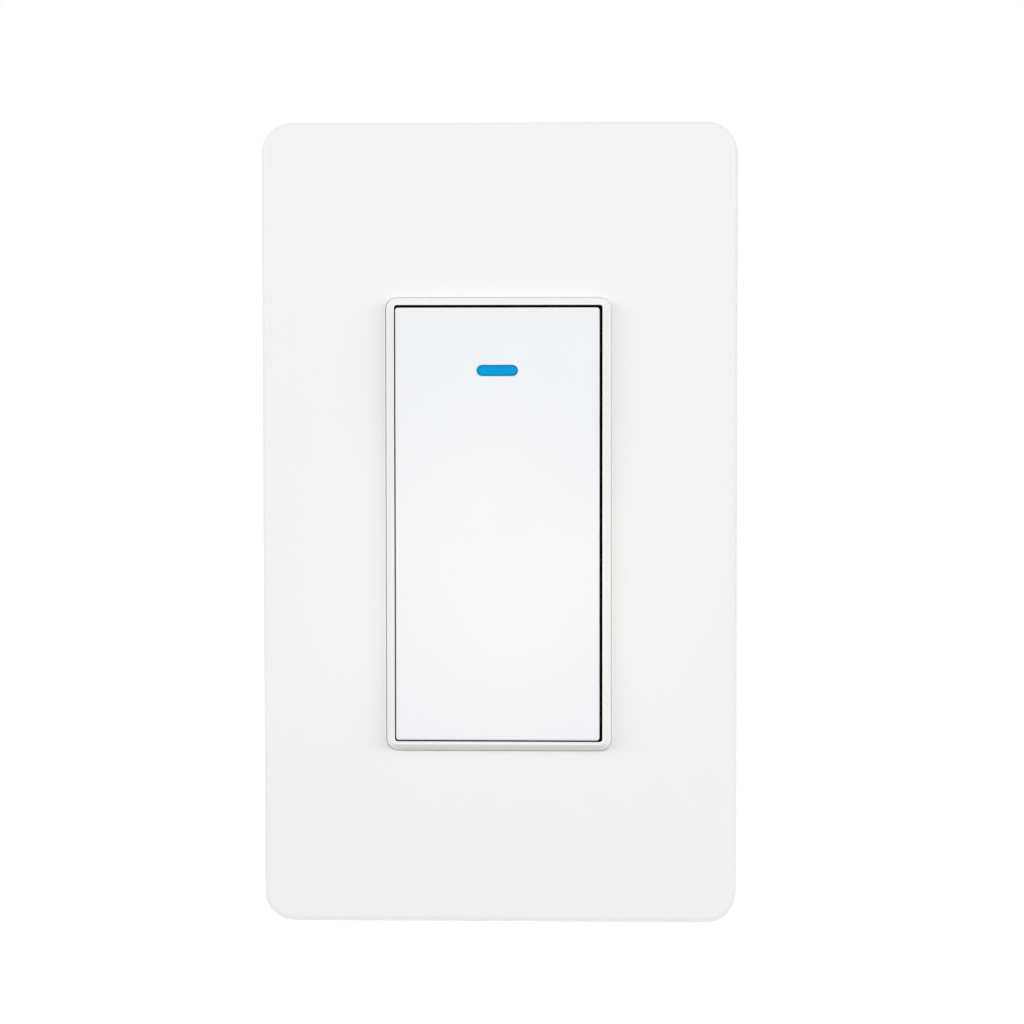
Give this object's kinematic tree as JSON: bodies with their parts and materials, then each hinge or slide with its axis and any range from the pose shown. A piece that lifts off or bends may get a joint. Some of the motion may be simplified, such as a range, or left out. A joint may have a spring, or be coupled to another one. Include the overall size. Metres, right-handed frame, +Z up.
{
  "type": "smart wall switch",
  "caption": "White smart wall switch with a screwless rounded wall plate, raised collar, long flat press key, blue indicator bar, steel strap and rear housing.",
  "frame": {"origin": "midway between the two box screws, in the plane of the wall that the strap and the plate's rim lie on", "axes": "+Z up along the switch's length, +Y into the wall, so the key faces -Y, +X to the right as seen from the front"},
  "size_m": [0.07, 0.0393, 0.118],
  "materials": {
    "plate_white": "satin",
    "collar_white": "satin",
    "key_white": "satin",
    "guide_blue": "polished",
    "carrier_grey": "matte",
    "tray_black": "matte",
    "housing_black": "matte",
    "strap_steel": "zinc plated",
    "zinc_screw": "zinc plated",
    "earth_green": "gloss",
    "brass": "satin",
    "board_green": "satin",
    "board_blue": "satin",
    "part_black": "matte",
    "plunger_red": "satin",
    "led_white": "gloss",
    "can_steel": "satin",
    "relay_blue": "gloss",
    "ferrite": "matte",
    "capacitor_sleeve": "gloss",
    "film_yellow": "gloss",
    "fuse_cap": "polished",
    "varistor_blue": "satin"
  },
  "bodies": {
    "switch_body": {"wall_plate": "plate_white", "bezel_frame": "collar_white", "sub_plate": "carrier_grey", "sub_plate_screws": "zinc_screw", "key_carrier": "tray_black", "mounting_strap": "strap_steel", "box_screws": "zinc_screw", "earth_screw": "earth_green", "rear_housing": "housing_black", "housing_screws": "zinc_screw", "terminal_plates": "brass", "wire_clamps": "strap_steel", "terminal_screws": "brass", "control_board": "board_green", "power_board": "board_green", "header_block": "part_black", "header_pins": "brass", "tact_switch_body": "part_black", "indicator_led": "led_white", "wifi_module": "board_blue", "wifi_shield_can": "can_steel", "control_chip": "part_black", "relay": "relay_blue", "transformer": "ferrite", "smoothing_capacitors": "capacitor_sleeve", "film_capacitor": "film_yellow", "fuse": "fuse_cap", "varistor": "varistor_blue"},
    "press_key": {"key": "key_white", "light_guide": "guide_blue"},
    "plunger": {"tact_switch_plunger": "plunger_red"}
  },
  "joints": [
    {"name": "key_press", "type": "hinge", "parent": "switch_body", "child": "press_key", "pos_m": [-0.00012, -0.0044, 0.02905], "axis": [1, 0, 0], "range_deg": [0, 1.12], "stiffness_Nm_per_rad": 1.5, "springref_deg": -0.57},
    {"name": "plunger_press", "type": "slide", "parent": "switch_body", "child": "plunger", "axis": [0, 1, 0], "range_m": [0, 0.00061]}
  ],
  "couplings": [
    {"joint": "plunger_press", "follows": "key_press", "m_per_rad": 0.031}
  ]
}
